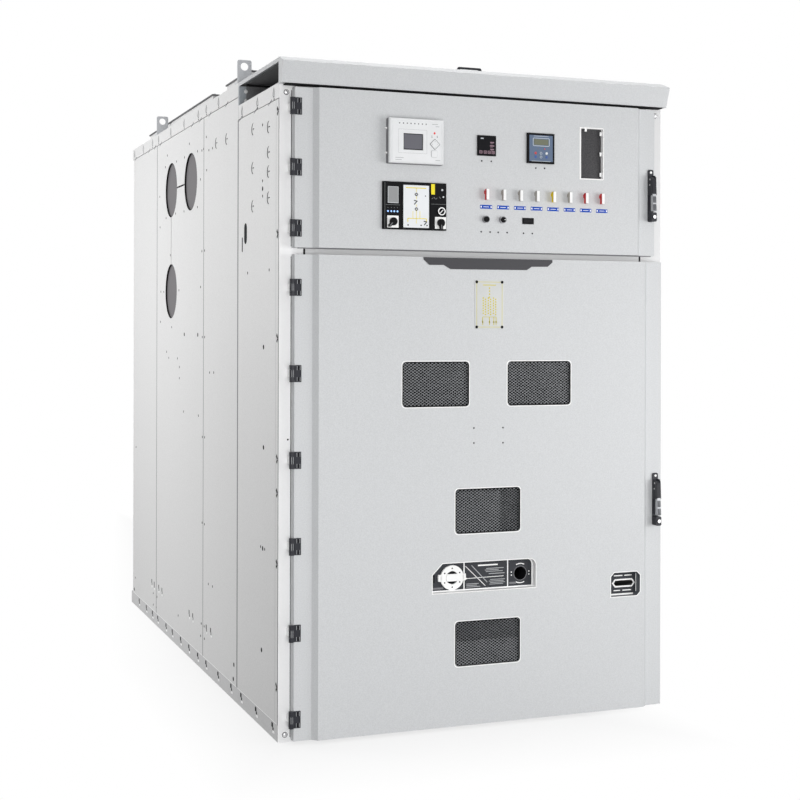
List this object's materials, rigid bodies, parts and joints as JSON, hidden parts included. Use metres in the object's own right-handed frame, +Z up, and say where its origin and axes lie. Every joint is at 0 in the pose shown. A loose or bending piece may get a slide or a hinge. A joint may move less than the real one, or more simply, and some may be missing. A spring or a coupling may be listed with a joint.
{
  "type": "metal-clad switchgear cabinet",
  "caption": "Tall metal-clad switchgear cabinet with a hinged instrument door over a hinged breaker door, swing handles, bare sheet sides with busbar holes, and lifting lugs.",
  "frame": {"origin": "on the floor under the middle of the cabinet body", "axes": "+Z up, the doors face -Y, +X to the right seen from the front, +Y along the cabinet's depth"},
  "size_m": [1.668, 3.152, 2.7],
  "materials": {
    "frame_paint": "near-white powder coat",
    "door_paint": "light grey powder coat with fine orange peel",
    "zinc_sheet": "bare aluminium-zinc coated sheet",
    "dark_sheet": "dark grey satin paint",
    "barrier_sheet": "mid grey paint",
    "black_metal": "black semi-matt coating",
    "clear_glass": "clear toughened glass",
    "relay_plastic": "pale grey moulded plastic",
    "black_plastic": "black moulded plastic",
    "white_plastic": "white moulded plastic",
    "red_plastic": "red moulded plastic",
    "grey_plastic": "warm grey moulded plastic",
    "yellow_plastic": "yellow moulded plastic",
    "bright_metal": "bright metal bezels"
  },
  "bodies": {
    "cabinet": {"left_post": "frame_paint", "right_post": "frame_paint", "middle_rail": "frame_paint", "head_rail": "frame_paint", "instrument_roof": "frame_paint", "fascia": "door_paint", "left_front_panel": "zinc_sheet", "left_breaker_panel": "zinc_sheet", "left_busbar_panel": "zinc_sheet", "left_cable_panel": "zinc_sheet", "right_front_panel": "zinc_sheet", "right_breaker_panel": "zinc_sheet", "right_busbar_panel": "zinc_sheet", "right_cable_panel": "zinc_sheet", "base_rails": "zinc_sheet", "sills": "zinc_sheet", "top_rails": "zinc_sheet", "wiring_uprights": "zinc_sheet", "roof_plate": "zinc_sheet", "relief_covers": "zinc_sheet", "rear_upper_cover": "zinc_sheet", "rear_lower_cover": "zinc_sheet", "lifting_lugs": "zinc_sheet", "floor_plate": "zinc_sheet", "instrument_shelf": "zinc_sheet", "instrument_back": "zinc_sheet", "breaker_back": "zinc_sheet", "relief_lids": "dark_sheet", "bus_hole_covers": "barrier_sheet", "frame_knuckles": "black_metal", "hinge_brackets": "black_metal", "roof_handle": "black_metal"},
    "instrument_door": {"instrument_door": "door_paint", "instrument_door_hinges": "black_metal", "instrument_handle_base": "black_metal", "protection_relay": "relay_plastic", "indicator_panel": "black_plastic", "cam_plates": "white_plastic", "small_meter": "black_plastic", "power_meter": "black_plastic", "counter": "black_plastic", "link_bodies": "white_plastic", "red_link_tabs": "red_plastic", "grey_link_tabs": "grey_plastic", "yellow_link_tabs": "yellow_plastic", "control_buttons": "bright_metal"},
    "breaker_door": {"breaker_door": "door_paint", "breaker_door_hinges": "black_metal", "breaker_handle_base": "black_metal", "window_glass": "clear_glass", "window_screens": "dark_sheet", "racking_plate": "door_paint", "earthing_slot_plate": "door_paint"},
    "instrument_lever": {"instrument_handle_lever": "black_metal"},
    "breaker_lever": {"breaker_handle_lever": "black_metal"},
    "interlock_knob": {"interlock_knob": "white_plastic"},
    "left_cam_knob": {"left_cam_knob": "black_plastic"},
    "right_cam_knob": {"right_cam_knob": "black_plastic"},
    "push_button": {"push_button": "black_plastic"},
    "selector_knob": {"selector_knob": "black_plastic"}
  },
  "joints": [
    {"name": "instrument_door_swing", "type": "hinge", "parent": "cabinet", "child": "instrument_door", "pos_m": [-0.793, -1.575, 2.179], "axis": [0, 0, -1], "range_deg": [0, 120]},
    {"name": "breaker_door_swing", "type": "hinge", "parent": "cabinet", "child": "breaker_door", "pos_m": [-0.793, -1.575, 0.931], "axis": [0, 0, -1], "range_deg": [0, 120]},
    {"name": "instrument_handle_lift", "type": "hinge", "parent": "instrument_door", "child": "instrument_lever", "pos_m": [0.754, -1.59, 2.19146], "axis": [-1, 0, 0], "range_deg": [0, 45]},
    {"name": "breaker_handle_lift", "type": "hinge", "parent": "breaker_door", "child": "breaker_lever", "pos_m": [0.779, -1.59, 0.93367], "axis": [-1, 0, 0], "range_deg": [0, 45]},
    {"name": "interlock_turn", "type": "hinge", "parent": "breaker_door", "child": "interlock_knob", "pos_m": [-0.13311, -1.565, 0.59165], "axis": [0, -1, 0], "range_deg": [0, 90]},
    {"name": "left_cam_turn", "type": "hinge", "parent": "instrument_door", "child": "left_cam_knob", "pos_m": [-0.39991, -1.606, 1.98215], "axis": [0, -1, 0], "range_deg": [-45, 45]},
    {"name": "right_cam_turn", "type": "hinge", "parent": "instrument_door", "child": "right_cam_knob", "pos_m": [-0.20195, -1.606, 1.98215], "axis": [0, -1, 0], "range_deg": [-45, 45]},
    {"name": "selector_turn", "type": "hinge", "parent": "instrument_door", "child": "selector_knob", "pos_m": [0.0694, -1.606, 2.00326], "axis": [0, -1, 0], "range_deg": [-45, 45]},
    {"name": "push_button_press", "type": "slide", "parent": "instrument_door", "child": "push_button", "axis": [0, 1, 0], "range_m": [0, 0.004], "stiffness_N_per_m": 500}
  ]
}
